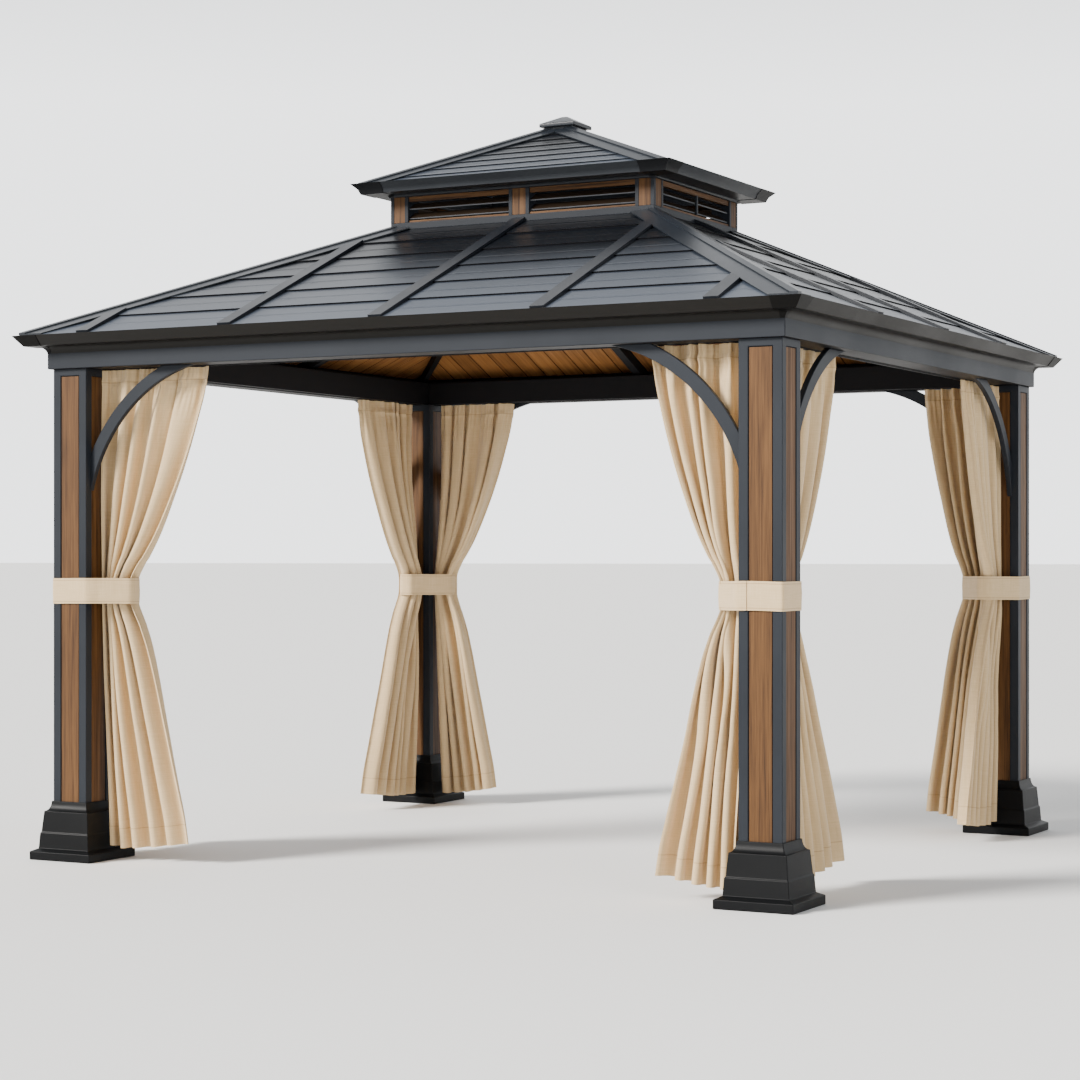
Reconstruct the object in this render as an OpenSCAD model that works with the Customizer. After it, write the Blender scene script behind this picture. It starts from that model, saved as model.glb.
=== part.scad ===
// Hardtop gazebo: four panelled posts on moulded plinths, a beam ring with
// curved braces, a lapped hip roof with a louvred cupola, and tied-back curtains.
// Millimetres. X runs along the front, Y to the back, Z up from the ground.

/* [Plan] */
// Spacing of the post centres along the front
post_pitch_x = 3180; // [2600:10:4200]
// Spacing of the post centres front to back
post_pitch_y = 2860; // [2400:10:4200]
// Clear height under the beams
clear_height = 2090; // [1900:10:2600]
// Play left round fitted pieces
seat_gap = 0.3; // [0.1:0.1:0.5]

/* [Posts] */
// Outside width of a post
post_w = 175; // [150:1:205]
// Wall of the post tube
post_wall = 12; // [10:0.5:20]
// Metal edge beside each wood panel
stile_w = 39; // [25:1:55]
// Depth of the panel recess
panel_recess = 8; // [6:0.5:9]
// Thickness of a wood panel
panel_t = 5; // [3:0.5:5.5]
// Shadow gap round a wood panel
panel_gap = 3; // [1:0.5:6]
// Metal rail above each panel
top_rail_h = 30; // [15:1:60]

/* [Plinths] */
// Width of the bottom slab
plinth_w = 318; // [290:1:380]
// Height of the bottom slab
plinth_slab_h = 35; // [20:1:60]
// Height of the bevel on the slab
plinth_bevel_h = 12; // [5:1:20]
// Width of the lower tier
plinth_tier_w = 264; // [250:1:280]
// Height of the lower tier
plinth_tier_h = 66; // [40:1:90]
// Height of the step between the tiers
plinth_step_h = 4; // [2:0.5:8]
// Width of the upper tier
plinth_neck_w = 247; // [235:1:252]
// Height of the upper tier
plinth_neck_h = 88; // [50:1:120]
// Draft of the lower tier sides
plinth_draft = 4.5; // [0:0.5:6]
// Draft of the upper tier sides
plinth_neck_draft = 8; // [0:0.5:10]
// Height of the cove at the top
plinth_cove_h = 42; // [20:1:60]
// Lip of the cove round the post
plinth_lip = 5.5; // [3:0.5:10]

/* [Beams] */
// Width of a beam
beam_w = 170; // [160:1:220]
// Height of a beam
beam_h = 115; // [90:1:160]
// Beam face in front of the post face
beam_proud = 18; // [5:1:40]
// Width of the plate on top of the beam
plate_w = 40; // [25:1:70]
// Plate behind the beam face
plate_set = 20; // [5:1:60]
// Curtain track centre behind the beam face
track_set = 136; // [130:1:142]
// Width of a curtain track
track_w = 24; // [16:1:30]
// Height of a curtain track
track_h = 14; // [12:1:20]
// Wall of a curtain track
track_wall = 3; // [2:0.5:5]
// Track standing out below the beam
track_drop = 3; // [1:0.5:6]

/* [Braces] */
// Reach of a brace along the beam
brace_reach = 540; // [400:5:700]
// Drop of a brace down the post
brace_drop = 520; // [400:5:700]
// Bow of the brace towards the corner
brace_bow = 108; // [40:1:130]
// Width of a brace in its curve
brace_w = 52; // [35:1:80]
// Thickness of a brace
brace_t = 24; // [15:1:48]
// Brace face behind the post face
brace_set = 30; // [10:1:34]

/* [Gutters] */
// Gutter lip in front of the beam face
gutter_reach = 105; // [85:1:140]
// Sheet thickness of the gutter
gutter_t = 3.5; // [2:0.5:6]
// Width of the cove under the gutter
gutter_cove_w = 29; // [15:1:45]
// Height of the cove under the gutter
gutter_cove_h = 30; // [15:1:45]
// Gutter bottom below the beam top
gutter_drop = 19; // [10:1:35]
// Gutter lip above the beam top
gutter_rise = 24; // [22:1:60]
// Length of a gutter corner along each side
corner_len = 125; // [110:1:180]
// Gutter corner in front of the gutter
corner_proud = 2; // [1:0.5:4]

/* [Lower roof] */
// Rise from the sheet edge to the cupola
roof_rise = 520; // [350:5:750]
// Sheet edge behind the gutter lip
eave_inset = 20; // [12:1:35]
// Sheet edge above the beam top
eave_lift = 20; // [14:1:35]
// Thickness of a roof sheet
sheet_t = 4; // [2:0.5:8]
// Step at each lap of a sheet
lap_h = 6; // [3:0.5:10]
// Lapped courses up the slope
lap_courses = 6; // [4:1:9]
// Width of a roof rib
rib_w = 62; // [40:1:110]
// Height of a roof rib
rib_h = 10; // [8:1:25]
// Spacing of the ribs on front and back
rib_pitch_x = 720; // [500:5:760]
// Spacing of the ribs on left and right
rib_pitch_y = 785; // [500:5:1000]
// Width of each hip cap flange
hip_w = 88; // [50:1:130]
// Thickness of a hip cap
hip_t = 5; // [3:0.5:9]
// Half width of the raised spine of a hip cap
spine_w = 20; // [10:1:35]
// Height of the spine of a hip cap
spine_h = 5; // [2:0.5:10]
// Sheets kept back from the hips
hip_gap = 10; // [6:1:20]

/* [Ceiling] */
// Thickness of the lined ceiling panels
board_t = 50; // [20:1:52]
// Width of a rafter
rafter_w = 45; // [30:1:70]
// Depth of a rafter
rafter_h = 50; // [35:1:60]
// Spacing of the two rafters on each slope
rafter_pitch = 630; // [500:5:720]
// Width of a hip rafter
hip_rafter_w = 60; // [45:1:80]

/* [Cupola] */
// Outside length of the cupola walls
cupola_length = 1300; // [1100:10:1400]
// Outside depth of the cupola walls
cupola_depth = 880; // [700:10:1100]
// Wall height from the sill to the frieze
cupola_wall_h = 145; // [120:1:220]
// Thickness of the crown frame and walls
crown_w = 60; // [50:1:80]
// Height of the crown frame
crown_h = 120; // [115:1:140]
// Height of the sill rails
sill_h = 30; // [20:1:40]
// Width of a cupola corner post
cupola_post_w = 90; // [70:1:120]
// Width of a cupola centre post
mullion_w = 100; // [70:1:140]
// Metal edge beside the cupola wood panels
cupola_stile_w = 17; // [10:1:25]
// Depth of the cupola panel recess
cupola_recess = 5; // [4:0.5:8]
// Thickness of the cupola wood panels
cupola_panel_t = 3.5; // [2:0.5:4]
// Height of the header boards
header_h = 22; // [15:1:40]
// Height of the wood strip on the sill
strip_h = 9; // [5:1:15]
// Thickness of header boards and strips
header_t = 18; // [10:1:20]
// Header boards behind the wall face
header_set = 6; // [2:1:15]
// Width of a louvre blade
louvre_w = 50; // [30:1:54]
// Thickness of a louvre blade
louvre_t = 6; // [3:0.5:9]
// Tilt of the louvre blades
louvre_tilt = 34; // [8:1:38]
// Gap between the header and the top louvre
louvre_gap = 3; // [1:0.5:8]
// Louvre blades in each window
louvres = 2; // [1:1:2]
// Width of the bar in each side window
bar_w = 14; // [8:1:25]
// Thickness of the bar in each side window
bar_t = 8; // [5:0.5:12]
// Height of the frieze
frieze_h = 35; // [25:1:60]
// Frieze in front of the wall face
frieze_proud = 6; // [2:0.5:15]
// Width of the plate on the frieze
frieze_plate_w = 30; // [20:1:45]

/* [Cupola roof] */
// Gutter lip in front of the frieze
cupola_reach = 124; // [100:1:160]
// Width of the cove under the cupola gutter
cupola_cove_w = 10; // [5:1:20]
// Height of the cove under the cupola gutter
cupola_cove_h = 8; // [4:1:14]
// Cupola gutter bottom below the frieze top
cupola_drop = 24; // [18:1:26]
// Cupola gutter lip above the frieze top
cupola_lip = 20; // [14:1:35]
// Length of a cupola gutter corner along each side
cupola_corner_len = 150; // [130:1:180]
// Sheet edge behind the cupola gutter lip
cupola_inset = 24; // [20:1:34]
// Sheet edge above the frieze top
cupola_lift = 10; // [7:1:20]
// Rise of the cupola roof to its cap
cupola_rise = 258; // [200:2:360]
// Lapped courses of the cupola roof
cupola_courses = 8; // [5:1:12]
// Step at each lap of the cupola roof
cupola_lap_h = 4; // [2:0.5:6]
// Width of each cupola hip cap flange
cupola_hip_w = 70; // [40:1:90]
// Width of the finial cap
cap_w = 176; // [165:1:230]
// Width of the block under the cap
cap_seat_w = 140; // [110:1:155]
// Cap above the sheet tops
cap_lift = 20; // [18:1:30]
// Edge height of the finial cap
cap_edge_h = 16; // [8:1:30]
// Height of the pyramid on the cap
cap_rise = 36; // [20:1:60]
// Flat on top of the cap
cap_flat_w = 30; // [10:1:60]

/* [Curtains] */
// Reach of a front or back curtain at the top
curtain_reach_x = 430; // [300:5:640]
// Reach of a left or right curtain at the top
curtain_reach_y = 540; // [300:5:640]
// Reach of a curtain at the tie
curtain_tie = 150; // [110:1:220]
// Reach of a front or back curtain at the hem
curtain_foot_x = 370; // [300:5:600]
// Reach of a left or right curtain at the hem
curtain_foot_y = 500; // [300:5:600]
// Hem above the ground
curtain_hem = 60; // [20:1:120]
// Half depth of the folds at the top
curtain_top_d = 28; // [18:1:32]
// Half depth of the folds at the tie
curtain_tie_d = 46; // [35:1:60]
// Half depth of the folds at the hem
curtain_foot_d = 118; // [60:1:130]
// Curtain clear of the post and plinth
curtain_clear = 4; // [2:0.5:15]
// Height of the tie-back centre
tie_z = 1145; // [900:5:1350]
// Height of the tie-back band
tie_h = 108; // [60:1:140]
// Thickness of the tie-back band
tie_t = 4; // [2:0.5:8]

/* [Hidden] */
$fn = 96;
metal = [0.27, 0.29, 0.32];
dark = [0.15, 0.16, 0.18];
wood = [0.54, 0.37, 0.23];
cloth = [0.84, 0.77, 0.66];

// Plan lines from the middle
post_x = post_pitch_x / 2;
post_y = post_pitch_y / 2;
beam_x = post_x + post_w / 2 + beam_proud;
beam_y = post_y + post_w / 2 + beam_proud;
plate_x = beam_x - plate_set - plate_w;
plate_y = beam_y - plate_set - plate_w;
wall_x = cupola_length / 2;
wall_y = cupola_depth / 2;
frieze_x = wall_x + frieze_proud;
frieze_y = wall_y + frieze_proud;

// Levels
beam_top = clear_height + beam_h;
wall_z = beam_top + eave_lift + roof_rise;
window_z = wall_z + sill_h;
frieze_z = wall_z + cupola_wall_h;
frieze_top = frieze_z + frieze_h;

// Roofs: eave half sizes, top half sizes, eave level, rise
eave_out = gutter_reach - eave_inset;
cupola_out = cupola_reach - cupola_inset;
lower = [beam_x + eave_out, beam_y + eave_out, wall_x, wall_y, beam_top + eave_lift, roof_rise];
upper = [frieze_x + cupola_out, frieze_y + cupola_out, cap_seat_w / 2, cap_seat_w / 2,
         frieze_top + cupola_lift, cupola_rise];

// Posts and curtains
panel_w = post_w - 2 * stile_w;
plinth_h = plinth_slab_h + plinth_bevel_h + plinth_tier_h + plinth_step_h + plinth_neck_h + plinth_cove_h;
panel_z0 = plinth_h / 2;
panel_z1 = clear_height - top_rail_h;
track_in = track_set - beam_proud - post_w / 2;
curtain_top = clear_height - track_drop - seat_gap;
tie_top = tie_z + tie_h / 2;
tie_bottom = tie_z - tie_h / 2;
foot_start = (plinth_w - post_w) / 2 + curtain_clear;

// Curtain outline: shares of height, of reach, of start and of depth
upper_shares = [[0.1, 0.1, 0, 0.1], [0.28, 0.4, 0, 0.5], [0.51, 0.71, 0, 1], [0.74, 0.87, 0, 1],
                [0.94, 0.985, 0, 0.9], [1, 1, 0, 1]];
lower_shares = [[1, 1, 1, 1], [0.8, 0.9, 1, 0.85], [0.64, 0.79, 0.85, 0.7], [0.4, 0.53, 0.35, 0.45],
                [0.23, 0.32, 0.12, 0.25], [0.09, 0.1, 0, 0.1]];
function curtain_rows(reach, foot) = concat(
    [for (s = lower_shares) curtain_row(tie_bottom + s[0] * (curtain_hem - tie_bottom), s,
                                        foot, foot_start, curtain_foot_d)],
    [curtain_row(tie_bottom, [0, 0, 0, 0], 0, 0, 0), curtain_row(tie_top, [0, 0, 0, 0], 0, 0, 0)],
    [for (s = upper_shares) curtain_row(tie_top + s[0] * (curtain_top - tie_top), s,
                                        reach, curtain_clear, curtain_top_d)]);
function curtain_row(z, s, reach, start, depth) = [z,
    curtain_clear + s[2] * (start - curtain_clear),
    curtain_tie + s[1] * (reach - curtain_tie),
    curtain_tie_d + s[3] * (depth - curtain_tie_d)];

// Sides: 0 front, 1 right, 2 back, 3 left
function pick(i, a, b) = i % 2 == 0 ? a : b;
module on_side(i) rotate([0, 0, 90 * i]) children();
// Corners: 0 front right, 1 front left, 2 back left, 3 back right
module on_corner(k) {
    if (k == 0) children();
    if (k == 1) mirror([1, 0, 0]) children();
    if (k == 2) rotate([0, 0, 180]) children();
    if (k == 3) mirror([0, 1, 0]) children();
}

// Roof slopes
function along(r, i) = pick(i, r[0], r[1]);
function out(r, i) = pick(i, r[1], r[0]);
function run(r, i) = pick(i, r[1] - r[3], r[0] - r[2]);
function pitch(r, i) = atan2(r[5], run(r, i));
function slant(r, i) = norm([run(r, i), r[5]]);
function narrowing(r, i) = (along(r, i) - pick(i, r[2], r[3])) / slant(r, i);
function half_at(r, i, y, w) = along(r, i) - narrowing(r, i) * y - w * norm([1, narrowing(r, i)]);
// Sheets run on past the wall and are trimmed there
function sheet_len(r, i) = slant(r, i) + 2 * rib_h;
module on_slope(r, i) on_side(i) translate([0, -out(r, i), r[4]]) rotate([pitch(r, i), 0, 0]) children();
module slope_slab(r, i, w, y0, z0, z1) {
    y1 = sheet_len(r, i);
    translate([0, 0, z0]) linear_extrude(z1 - z0) polygon([
        [-half_at(r, i, y0, w), y0], [half_at(r, i, y0, w), y0],
        [half_at(r, i, y1, w), y1], [-half_at(r, i, y1, w), y1]]);
}
// Block inside the upper edge of a roof
module core(r) translate([-r[2], -r[3], r[4]]) cube([2 * r[2], 2 * r[3], 2 * r[5]]);
module plan_box(x, y, z0, z1) translate([-x, -y, z0]) cube([2 * x, 2 * y, z1 - z0]);

// Profile along a side: first coordinate inward from the line, second up
module side_bar(i, line, half, points) on_side(i) translate([-half, -line, 0])
    rotate([90, 0, 90]) linear_extrude(2 * half) polygon(points);
module mitred(i, x, y, w, z0, z1, gap) on_side(i) translate([0, 0, z0]) linear_extrude(z1 - z0) {
    half = pick(i, x, y) - gap;
    line = pick(i, y, x);
    polygon([[-half, -line], [half, -line], [half - w, w - line], [w - half, w - line]]);
}

// Lapped sheets
function lap_points(len, n, step, t) = concat([[0, -t]],
    [for (k = [0:n - 1]) each [[len * k / n, step], [len * (k + 1) / n, 0]]], [[len, -t]]);
module laps(r, i, n, step) translate([-along(r, i), 0, 0]) rotate([90, 0, 90])
    linear_extrude(2 * along(r, i)) polygon(lap_points(sheet_len(r, i), n, step, sheet_t));
module lapped_sheet(r, i, n, step) difference() {
    on_slope(r, i) intersection() {
        laps(r, i, n, step);
        slope_slab(r, i, hip_gap, 0, -2 * sheet_t, 2 * step);
    }
    core(r);
}

// Hips of the front right corner
function hip_line(r) = [r[2] - r[0], r[1] - r[3], r[5]];
function hip_side(r) = let (h = hip_line(r)) [-h[1], h[0], 0] / norm([h[0], h[1]]);
function hip_up(r) = let (c = cross(hip_line(r), hip_side(r))) c / norm(c);
function slope_normal(r, i) = i == 0 ? [0, -sin(pitch(r, 0)), cos(pitch(r, 0))]
                                     : [sin(pitch(r, 1)), 0, cos(pitch(r, 1))];
function hip_normal(r, i) = [slope_normal(r, i) * hip_side(r), slope_normal(r, i) * hip_up(r)];
function hip_peak(r, o) = let (a = hip_normal(r, 0), b = hip_normal(r, 1)) o * (a + b) / (1 + a * b);
function hip_edge(r, i, w, o) = let (m = hip_normal(r, i)) (i == 0 ? w : -w) * [m[1], -m[0]] + o * m;
module hip_bar(r, points) {
    h = hip_line(r);
    translate([r[0], -r[1], r[4]]) rotate([0, acos(h[2] / norm(h)), atan2(h[1], h[0])])
        translate([0, 0, -hip_rafter_w]) linear_extrude(norm(h) + 2 * hip_rafter_w)
            polygon([for (p = points) [-p[1], p[0]]]);
}
module hip_cap(r, w, lap) {
    lo = lap + seat_gap;
    hi = lo + hip_t;
    top = hi + spine_h;
    difference() {
        intersection() {
            hip_bar(r, [hip_peak(r, top), hip_edge(r, 0, spine_w, top), hip_edge(r, 0, spine_w, hi),
                        hip_edge(r, 0, w, hi), hip_edge(r, 0, w, lo), hip_peak(r, lo),
                        hip_edge(r, 1, w, lo), hip_edge(r, 1, w, hi), hip_edge(r, 1, spine_w, hi),
                        hip_edge(r, 1, spine_w, top)]);
            translate([seat_gap, -r[1], r[4] - r[5]]) cube([r[0] - seat_gap, r[1] - seat_gap, 3 * r[5]]);
        }
        core(r);
    }
}

// Gutters: reach, cove width, cove height, drop, rise, face as shares of reach and height
main_shares = [[0.5, 0], [0.55, 0.04]];
cupola_shares = [[0.68, 0], [0.7, 0.03], [0.78, 0.5]];
main_gutter = [gutter_reach, gutter_cove_w, gutter_cove_h, gutter_drop, gutter_rise, main_shares];
cupola_gutter = [cupola_reach, cupola_cove_w, cupola_cove_h, cupola_drop, cupola_lip, cupola_shares];
function face_point(g, z, s, in, up) = [in - g[1] - s[0] * (g[0] - g[1]), z - g[3] + s[1] * (g[3] + g[4]) + up];
function gutter_points(g, z, grow) = concat(
    [for (a = [0:15:90]) [-g[1] * (1 - cos(a)) - grow * sin(a),
                          z - g[3] - g[2] * (1 - sin(a)) - grow * sin(a)]],
    [for (s = g[5]) face_point(g, z, s, -grow, -grow)],
    [[-g[0] - grow, z + g[4]], [gutter_t - g[0], z + g[4]]],
    [for (n = [len(g[5]) - 1:-1:1]) face_point(g, z, g[5][n], gutter_t, gutter_t)],
    [[-gutter_t, face_point(g, z, g[5][1], gutter_t, gutter_t)[1]], [-gutter_t, z], [0, z]]);
module gutter(g, i, x, y, z, corner)
    side_bar(i, pick(i, y, x), pick(i, x, y) + g[0] - corner - seat_gap, gutter_points(g, z, 0));
module gutter_corner(g, x, y, z, corner) {
    far = 2 * g[0];
    lo = z - g[3] - 2 * g[2];
    for (i = [0, 1]) intersection() {
        side_bar(i, pick(i, y, x), pick(i, x, y) + far, gutter_points(g, z, corner_proud));
        on_side(i) mirror([i, 0, 0]) translate([0, 0, lo]) linear_extrude(far + z - lo) polygon([
            [pick(i, x, y) + g[0] - corner, -pick(i, y, x)], [pick(i, x, y), -pick(i, y, x)],
            [pick(i, x, y) + far, -pick(i, y, x) - far],
            [pick(i, x, y) + g[0] - corner, -pick(i, y, x) - far]]);
    }
}

// Square moulding from a half profile of half width and height
module square_moulding(points) {
    n = len(points);
    whole = concat(points, [for (k = [n - 1:-1:0]) [-points[k][0], points[k][1]]]);
    wide = 2 * max([for (p = points) p[0]]);
    intersection() {
        rotate([90, 0, 0]) translate([0, 0, -wide]) linear_extrude(2 * wide) polygon(whole);
        rotate([90, 0, 90]) translate([0, 0, -wide]) linear_extrude(2 * wide) polygon(whole);
    }
}

// Posts
module post(k) color(metal) on_corner(k) translate([post_x, -post_y, 0]) difference() {
    linear_extrude(clear_height) difference() {
        square(post_w, center = true);
        square(post_w - 2 * post_wall, center = true);
    }
    for (a = [0:90:270]) rotate([0, 0, a])
        translate([-panel_w / 2, -post_w, panel_z0])
            cube([panel_w, post_w / 2 + panel_recess, panel_z1 - panel_z0]);
}
module post_panels() color(wood) for (k = [0:3]) on_corner(k) translate([post_x, -post_y, 0])
    for (a = [0:90:270]) rotate([0, 0, a])
        translate([panel_gap - panel_w / 2, panel_recess - panel_t - post_w / 2, panel_z0 + seat_gap])
            cube([panel_w - 2 * panel_gap, panel_t, panel_z1 - panel_z0 - seat_gap - panel_gap]);

// Plinths
tier_z = plinth_slab_h + plinth_bevel_h;
step_z = tier_z + plinth_tier_h;
neck_z = step_z + plinth_step_h;
cove_z = neck_z + plinth_neck_h;
plinth_points = concat(
    [[plinth_w / 2, 0], [plinth_w / 2, plinth_slab_h], [plinth_tier_w / 2, tier_z],
     [plinth_tier_w / 2 - plinth_draft, step_z], [plinth_neck_w / 2, neck_z]],
    [for (a = [0:15:90]) let (wide = plinth_neck_w / 2 - plinth_neck_draft, top = post_w / 2 + plinth_lip)
        [top + (wide - top) * (1 - sin(a)), cove_z + plinth_cove_h * (1 - cos(a))]]);
module plinths() color(dark) for (k = [0:3]) on_corner(k) translate([post_x, -post_y, 0]) difference() {
    square_moulding(plinth_points);
    translate([0, 0, -plinth_h]) linear_extrude(3 * plinth_h) square(post_w + 2 * seat_gap, center = true);
}

// Beams with the plate that carries the ceiling
function under(r, i, start, v, t) = r[4] + (start + v) * tan(pitch(r, i)) - t / cos(pitch(r, i));
module beam(i) color(metal) intersection() {
    plate_end = plate_set + plate_w;
    layers = sheet_t + board_t;
    groove_h = track_h - track_drop;
    side_bar(i, pick(i, beam_y, beam_x), pick(i, beam_x, beam_y), [
        [0, clear_height], [track_set - track_w / 2, clear_height],
        [track_set - track_w / 2, clear_height + groove_h], [track_set + track_w / 2, clear_height + groove_h],
        [track_set + track_w / 2, clear_height], [beam_w, clear_height], [beam_w, beam_top],
        [plate_end, beam_top], [plate_end, under(lower, i, eave_out, plate_end, layers)],
        [plate_set, under(lower, i, eave_out, plate_set, layers)], [plate_set, beam_top], [0, beam_top]]);
    mitred(i, beam_x, beam_y, beam_w, clear_height - beam_h, wall_z, 0);
}
module curtain_tracks() color(dark) for (i = [0:3]) {
    half = pick(i, post_x, post_y) - post_w / 2 - seat_gap;
    wide = track_w / 2 - seat_gap;
    lo = clear_height - track_drop;
    hi = lo + track_h - seat_gap;
    side_bar(i, pick(i, beam_y, beam_x), half, [
        [track_set - wide, lo], [track_set - wide, hi], [track_set + wide, hi], [track_set + wide, lo],
        [track_set + wide - track_wall, lo], [track_set + wide - track_wall, hi - track_wall],
        [track_set - wide + track_wall, hi - track_wall], [track_set - wide + track_wall, lo]]);
}

// Braces: an arc band between the post face and the beam underside
brace_chord = norm([brace_reach, brace_drop]);
brace_r = (brace_chord * brace_chord / 4 + brace_bow * brace_bow) / (2 * brace_bow);
brace_back = brace_r - brace_bow;
module brace_outline() intersection() {
    translate([brace_reach / 2 + brace_back * brace_drop / brace_chord,
               -brace_drop / 2 - brace_back * brace_reach / brace_chord]) difference() {
        circle(brace_r + brace_w);
        circle(brace_r);
    }
    translate([0, -brace_drop]) square([brace_reach, brace_drop]);
}
module braces(i) color(metal) on_side(i) for (m = [0, 1]) mirror([m, 0, 0])
    translate([post_w / 2 - pick(i, post_x, post_y), brace_set + brace_t - post_w / 2 - pick(i, post_y, post_x),
               clear_height])
        rotate([90, 0, 0]) linear_extrude(brace_t) brace_outline();

// Eave
module eave_gutters() color(dark) for (i = [0:3]) gutter(main_gutter, i, beam_x, beam_y, beam_top, corner_len);
module gutter_corners() color(dark) for (k = [0:3]) on_corner(k)
    gutter_corner(main_gutter, beam_x, beam_y, beam_top, corner_len);

// Lower roof
module roof(i) color(dark) lapped_sheet(lower, i, lap_courses, lap_h);
module rib(i, x) difference() {
    on_slope(lower, i) intersection() {
        translate([x - rib_w / 2, 0, 0]) cube([rib_w, sheet_len(lower, i), lap_h + rib_h]);
        slope_slab(lower, i, hip_w + seat_gap, 0, 0, lap_h + rib_h);
    }
    on_slope(lower, i) translate([0, 0, seat_gap]) laps(lower, i, lap_courses, lap_h);
    core(lower);
}
module roof_ribs() color(dark) for (i = [0:3])
    for (n = pick(i, [-2:2], [-1:1])) rib(i, n * pick(i, rib_pitch_x, rib_pitch_y));
module hip_caps() color(dark) for (k = [0:3]) on_corner(k) hip_cap(lower, hip_w, lap_h);

// Ceiling and rafters
module ceiling() color(wood) for (i = [0:3]) difference() {
    on_slope(lower, i) slope_slab(lower, i, hip_gap + board_t * abs(hip_normal(lower, i % 2)[0]),
                                  (eave_out + plate_set) / cos(pitch(lower, i)), -sheet_t - board_t, -sheet_t);
    core(lower);
}
rafter_top = -sheet_t - board_t;
module inside_plates() intersection() {
    difference() {
        children();
        core(lower);
    }
    plan_box(plate_x, plate_y, beam_top + seat_gap, wall_z);
}
module rafter(i, x) inside_plates() on_slope(lower, i) intersection() {
    translate([x - rafter_w / 2, 0, rafter_top - rafter_h])
        cube([rafter_w, sheet_len(lower, i), rafter_h]);
    slope_slab(lower, i, hip_rafter_w / 2 + rafter_h * abs(hip_normal(lower, i % 2)[0]) + seat_gap, 0,
               rafter_top - rafter_h, rafter_top);
}
module rafters() color(dark) for (i = [0:3])
    for (n = [-0.5, 0.5]) rafter(i, n * rafter_pitch);
module hip_rafters() color(dark) for (k = [0:3]) on_corner(k) {
    peak = hip_peak(lower, rafter_top);
    e0 = hip_edge(lower, 0, hip_rafter_w / 2, rafter_top);
    e1 = hip_edge(lower, 1, hip_rafter_w / 2, rafter_top);
    inside_plates() hip_bar(lower, [peak, e0, [e0[0], peak[1] - rafter_h], [e1[0], peak[1] - rafter_h], e1]);
}

// Frame of four bars with their outer faces on the cupola walls
module wall_bars(z, h) {
    for (i = [0, 2]) on_side(i) translate([-wall_x, -wall_y, z]) cube([2 * wall_x, crown_w, h]);
    for (i = [1, 3]) on_side(i) translate([crown_w + seat_gap - wall_y, -wall_x, z])
        cube([2 * (wall_y - crown_w - seat_gap), crown_w, h]);
}
module crown_frame() color(dark) wall_bars(wall_z - crown_h, crown_h);

// Cupola walls
module cupola_sills() color(metal) wall_bars(wall_z, sill_h);
module cupola_posts() color(metal) {
    for (k = [0:3]) on_corner(k) difference() {
        translate([wall_x - cupola_post_w, -wall_y, window_z])
            cube([cupola_post_w, cupola_post_w, frieze_z - window_z]);
        translate([wall_x - cupola_post_w + cupola_stile_w, -wall_y, window_z])
            cube([cupola_post_w - 2 * cupola_stile_w, cupola_recess, frieze_z - window_z]);
        translate([wall_x - cupola_recess, cupola_stile_w - wall_y, window_z])
            cube([cupola_recess, cupola_post_w - 2 * cupola_stile_w, frieze_z - window_z]);
    }
    for (i = [0, 2]) on_side(i) difference() {
        translate([-mullion_w / 2, -wall_y, window_z]) cube([mullion_w, crown_w, frieze_z - window_z]);
        translate([cupola_stile_w - mullion_w / 2, -wall_y, window_z])
            cube([mullion_w - 2 * cupola_stile_w, cupola_recess, frieze_z - window_z]);
    }
    for (i = [1, 3]) on_side(i) translate([-bar_w / 2, -wall_x, window_z + strip_h + seat_gap])
        cube([bar_w, bar_t, frieze_z - header_h - window_z - strip_h - 2 * seat_gap]);
}
// Windows of a side, from and to along it
function windows(i) = i % 2 == 0
    ? [[cupola_post_w - wall_x, -mullion_w / 2], [mullion_w / 2, wall_x - cupola_post_w]]
    : [[cupola_post_w - wall_y, wall_y - cupola_post_w]];
module window_board(i, set, t, z, h) for (s = windows(i)) on_side(i)
    translate([s[0] + seat_gap, set - pick(i, wall_y, wall_x), z]) cube([s[1] - s[0] - 2 * seat_gap, t, h]);
module post_board(i, x, w) on_side(i)
    translate([x + cupola_stile_w + seat_gap,
               cupola_recess - cupola_panel_t - pick(i, wall_y, wall_x), window_z + seat_gap])
        cube([w - 2 * cupola_stile_w - 2 * seat_gap, cupola_panel_t, frieze_z - window_z - 2 * seat_gap]);
module cupola_boards() color(wood) for (i = [0:3]) {
    window_board(i, header_set, header_t, frieze_z - header_h, header_h - seat_gap);
    window_board(i, header_set, header_t, window_z, strip_h);
    post_board(i, -pick(i, wall_x, wall_y), cupola_post_w);
    post_board(i, pick(i, wall_x, wall_y) - cupola_post_w, cupola_post_w);
    if (i % 2 == 0) post_board(i, -mullion_w / 2, mullion_w);
}
module cupola_louvres() color(dark) for (i = [0:3]) for (n = [1:louvres]) {
    lo = window_z + strip_h;
    hi = frieze_z - header_h;
    half_h = (louvre_w * sin(louvre_tilt) + louvre_t * cos(louvre_tilt)) / 2;
    z = hi - louvre_gap - half_h - (hi - lo) * (louvres - n) / louvres;
    for (s = windows(i)) on_side(i)
        translate([s[0] + seat_gap, bar_t + louvre_w / 2 - pick(i, wall_y, wall_x), z]) rotate([louvre_tilt, 0, 0])
            translate([0, -louvre_w / 2, -louvre_t / 2]) cube([s[1] - s[0] - 2 * seat_gap, louvre_w, louvre_t]);
}
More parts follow.
